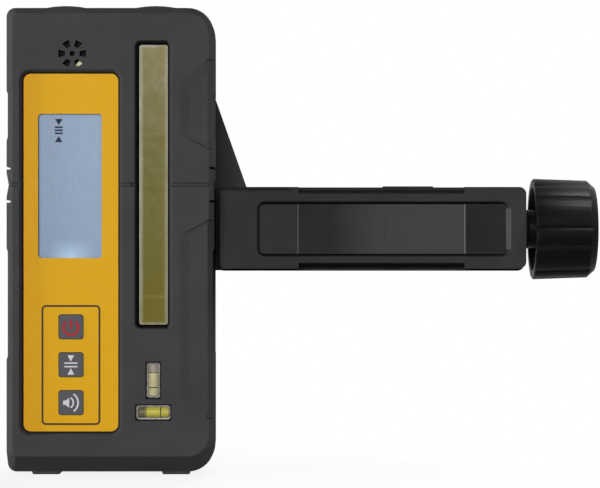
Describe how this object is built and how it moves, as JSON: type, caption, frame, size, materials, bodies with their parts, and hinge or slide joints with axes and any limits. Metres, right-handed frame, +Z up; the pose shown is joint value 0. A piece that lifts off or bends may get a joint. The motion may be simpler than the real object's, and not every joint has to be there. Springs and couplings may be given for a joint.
{
  "type": "laser receiver with rod clamp",
  "caption": "Hand-held laser receiver with display, keys, tall receiving window and level vials, bolted to a clamp whose knob drives a sliding jaw along an arm to grip a levelling rod.",
  "frame": {"origin": "inner corner of the clamp where the rod seats: on the fixed jaw's face, at the arm's rear face and level with the arm's top edge", "axes": "+X along the arm from the fixed jaw to the knob, +Y from the display to the back, +Z up"},
  "size_m": [0.2147, 0.057, 0.17],
  "materials": {
    "case_plastic": "matte",
    "clamp_plastic": "matte",
    "knob_plastic": "satin",
    "overlay_film": "satin",
    "display_clear": "gloss",
    "lcd_glass": "gloss",
    "white_plastic": "matte",
    "key_rubber": "matte",
    "black_plastic": "satin",
    "board_laminate": "satin",
    "steel": "satin",
    "membrane": "matte",
    "lens_amber": "gloss",
    "guide_amber": "satin",
    "vial_clear": "gloss",
    "battery_can": "gloss",
    "seal_rubber": "matte",
    "brass": "satin",
    "pad_rubber": "matte",
    "spindle_plastic": "satin"
  },
  "bodies": {
    "receiver": {"front_housing": "case_plastic", "rear_housing": "case_plastic", "housing_seal": "seal_rubber", "housing_screws": "steel", "keypad_overlay": "overlay_film", "display_lens": "display_clear", "lcd_panel": "lcd_glass", "lcd_backlight": "white_plastic", "key_switches": "black_plastic", "main_board": "board_laminate", "board_screws": "steel", "sounder": "black_plastic", "sounder_membrane": "membrane", "receiving_lens": "lens_amber", "light_guide": "guide_amber", "photodiodes": "black_plastic", "detector_board": "board_laminate", "upright_vial": "vial_clear", "cross_vial": "vial_clear", "vial_carrier": "white_plastic", "batteries": "battery_can", "battery_contacts": "steel", "door_hinge_pin": "steel", "mount_insert": "brass", "clamp_frame": "clamp_plastic", "arm_cover": "clamp_plastic", "fixed_jaw_pad": "pad_rubber", "spindle_bush": "black_plastic"},
    "power_key": {"power_key": "key_rubber"},
    "deadband_key": {"deadband_key": "key_rubber"},
    "volume_key": {"volume_key": "key_rubber"},
    "battery_door": {"battery_door": "case_plastic", "door_seal": "seal_rubber"},
    "clamp_knob": {"clamp_knob": "knob_plastic", "clamp_spindle": "spindle_plastic", "knob_pin": "steel"},
    "moving_jaw": {"moving_jaw": "clamp_plastic", "moving_jaw_pad": "pad_rubber"},
    "screw_clip": {"screw_clip": "steel"},
    "mounting_knob": {"mounting_knob": "knob_plastic", "mounting_screw": "steel"}
  },
  "joints": [
    {"name": "power_key_press", "type": "slide", "parent": "receiver", "child": "power_key", "axis": [0, 1, 0], "range_m": [0, 0.0005], "stiffness_N_per_m": 4000},
    {"name": "deadband_key_press", "type": "slide", "parent": "receiver", "child": "deadband_key", "axis": [0, 1, 0], "range_m": [0, 0.0005], "stiffness_N_per_m": 4000},
    {"name": "volume_key_press", "type": "slide", "parent": "receiver", "child": "volume_key", "axis": [0, 1, 0], "range_m": [0, 0.0005], "stiffness_N_per_m": 4000},
    {"name": "battery_door_hinge", "type": "hinge", "parent": "receiver", "child": "battery_door", "pos_m": [-0.0547, 0.0025, -0.08735], "axis": [-1, 0, 0], "range_deg": [0, 90]},
    {"name": "clamp_knob_turn", "type": "hinge", "parent": "receiver", "child": "clamp_knob", "pos_m": [0.1, -0.0084, -0.0154], "axis": [1, 0, 0], "range_deg": [-2790, 810]},
    {"name": "moving_jaw_slide", "type": "slide", "parent": "receiver", "child": "moving_jaw", "axis": [1, 0, 0], "range_m": [-0.031, 0.009]},
    {"name": "mounting_screw_travel", "type": "slide", "parent": "receiver", "child": "screw_clip", "axis": [0, 1, 0], "range_m": [0, 0.00635]},
    {"name": "mounting_knob_turn", "type": "hinge", "parent": "screw_clip", "child": "mounting_knob", "pos_m": [-0.0487, 0.01645, 0.004], "axis": [0, 1, 0], "range_deg": [0, 1800]}
  ],
  "couplings": [
    {"joint": "moving_jaw_slide", "follows": "clamp_knob_turn", "m_per_rad": 0.0006366},
    {"joint": "mounting_screw_travel", "follows": "mounting_knob_turn", "m_per_rad": 0.0002021}
  ]
}
